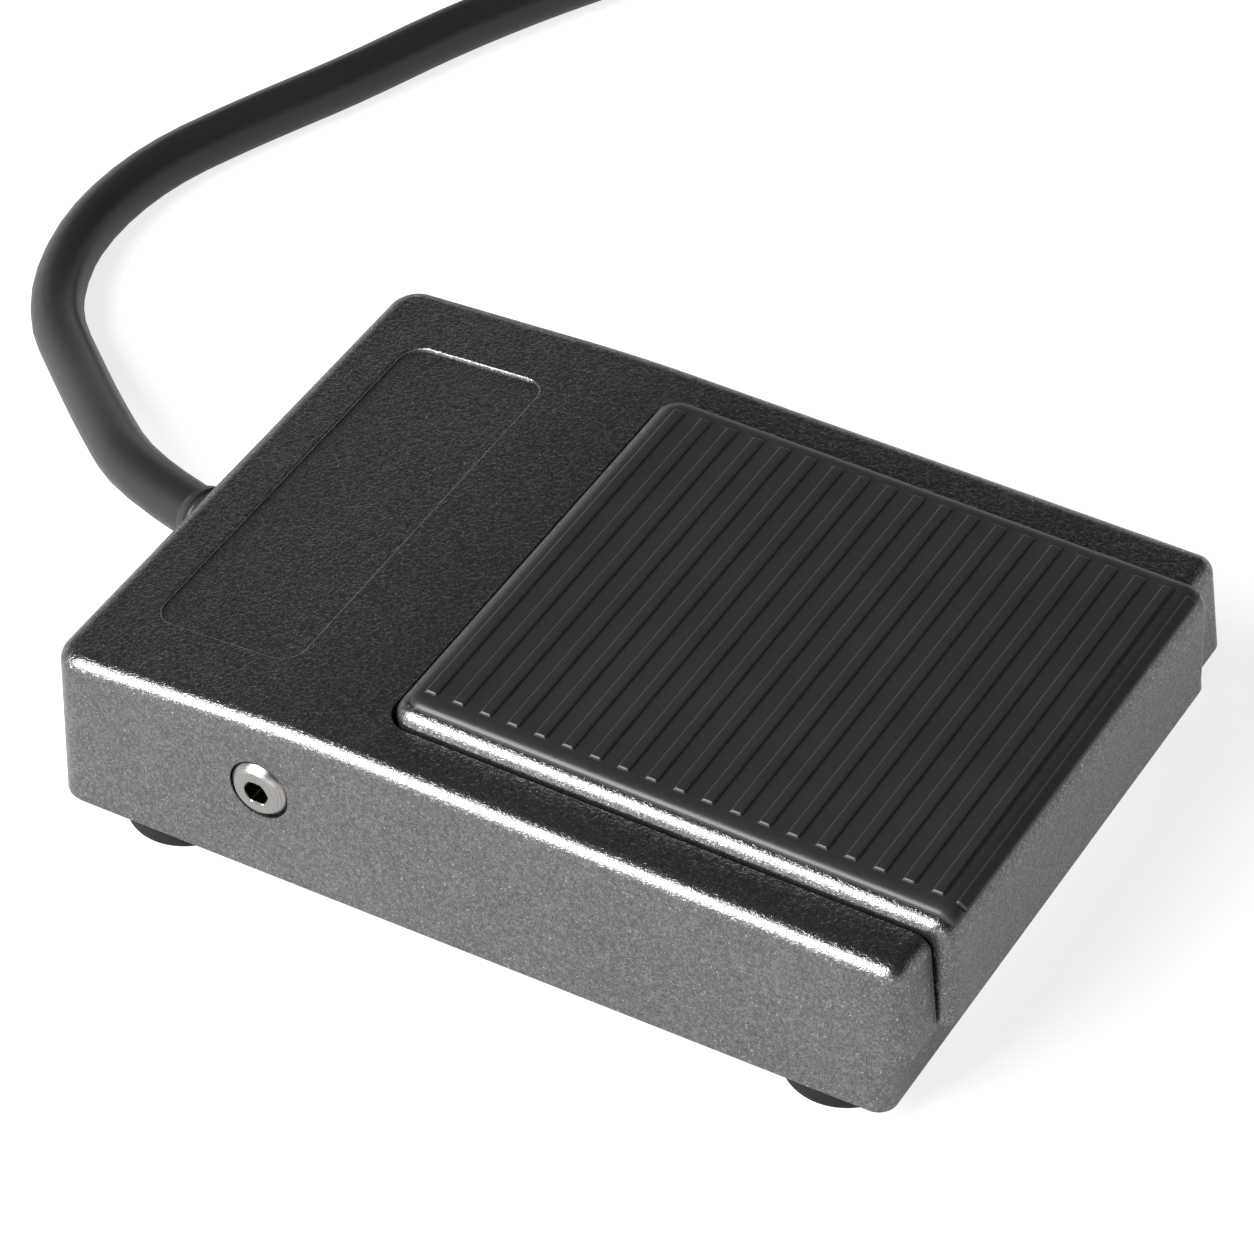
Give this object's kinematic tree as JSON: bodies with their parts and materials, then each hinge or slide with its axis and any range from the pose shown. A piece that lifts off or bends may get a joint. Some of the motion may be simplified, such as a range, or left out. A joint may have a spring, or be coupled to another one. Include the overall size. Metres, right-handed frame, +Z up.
{
  "type": "foot pedal switch",
  "caption": "Foot pedal switch: low cast housing with a ridge roof, hinged pedal with a ribbed mat, rubber feet and a coiled cable with a round plug.",
  "frame": {"origin": "on the floor under the middle of the object without its cable, coil and plug", "axes": "+Z up; +Y to the rear, where the cable leaves; +X to the right of a person whose foot is on the pedal, facing +Y"},
  "size_m": [0.3854, 0.2948, 0.0405],
  "materials": {
    "coat": "graphite textured powder coat",
    "zinc": "zinc-plated",
    "nickel": "nickel-plated, fine turned",
    "steel": "bright steel",
    "mat": "satin",
    "rubber": "matte",
    "sheath": "satin",
    "bronze": "sintered bronze",
    "case": "moulded",
    "cover": "moulded",
    "red": "moulded",
    "contact": "plain",
    "grey": "moulded",
    "brown": "wire insulation",
    "blue": "wire insulation",
    "green": "wire insulation",
    "strap": "woven"
  },
  "bodies": {
    "housing": {"housing_cover": "coat", "base_plate": "zinc", "base_gasket": "rubber", "rear_left_foot": "rubber", "rear_right_foot": "rubber", "front_left_foot": "rubber", "front_right_foot": "rubber", "foot_screws": "zinc", "base_screws": "zinc", "pivot_shaft": "steel", "right_pivot_screw": "nickel", "left_pivot_screw": "nickel", "right_pivot_spacer": "grey", "left_pivot_spacer": "grey", "switch_case": "case", "switch_cover": "cover", "switch_terminals": "contact", "switch_lever_pin": "steel", "switch_bracket": "zinc", "switch_screws": "zinc", "bracket_screws": "zinc", "spring_seat": "zinc", "return_spring": "steel", "travel_stops": "rubber", "cable_grommet": "rubber", "inner_cable": "sheath", "cable_saddle": "grey", "cable_clamp": "grey", "clamp_screws": "zinc", "live_wire": "brown", "switched_wire": "blue", "earth_wire": "green", "wire_receptacles": "contact", "earth_terminal": "contact", "earth_screw": "zinc", "cable_lead": "sheath", "cable_coil": "sheath", "coil_tie": "strap", "cable_tail": "sheath", "plug_boot": "rubber", "plug_shell": "nickel", "plug_coupling_ring": "nickel", "plug_insert": "case", "plug_sockets": "contact"},
    "pedal": {"pedal_plate": "coat", "tread_mat": "mat", "right_pivot_bush": "bronze", "left_pivot_bush": "bronze", "actuator_screw": "zinc", "actuator_locknut": "zinc", "rebound_pads": "rubber"},
    "lever": {"switch_lever": "steel"},
    "plunger": {"switch_plunger": "red"}
  },
  "joints": [
    {"name": "pedal_hinge", "type": "hinge", "parent": "housing", "child": "pedal", "pos_m": [0, 0.03893, 0.0217], "axis": [1, 0, 0], "range_deg": [0, 3.5], "stiffness_Nm_per_rad": 20, "springref_deg": -4.58, "deforming": ["return_spring"]},
    {"name": "lever_hinge", "type": "hinge", "parent": "housing", "child": "lever", "pos_m": [0, 0.02743, 0.0237], "axis": [1, 0, 0], "range_deg": [0, 5.2]},
    {"name": "plunger_slide", "type": "slide", "parent": "housing", "child": "plunger", "axis": [0, 0, -1], "range_m": [0, 0.00075]}
  ],
  "couplings": [
    {"joint": "lever_hinge", "follows": "pedal_hinge", "ratio": 1.4792},
    {"joint": "plunger_slide", "follows": "pedal_hinge", "m_per_rad": 0.011833}
  ]
}
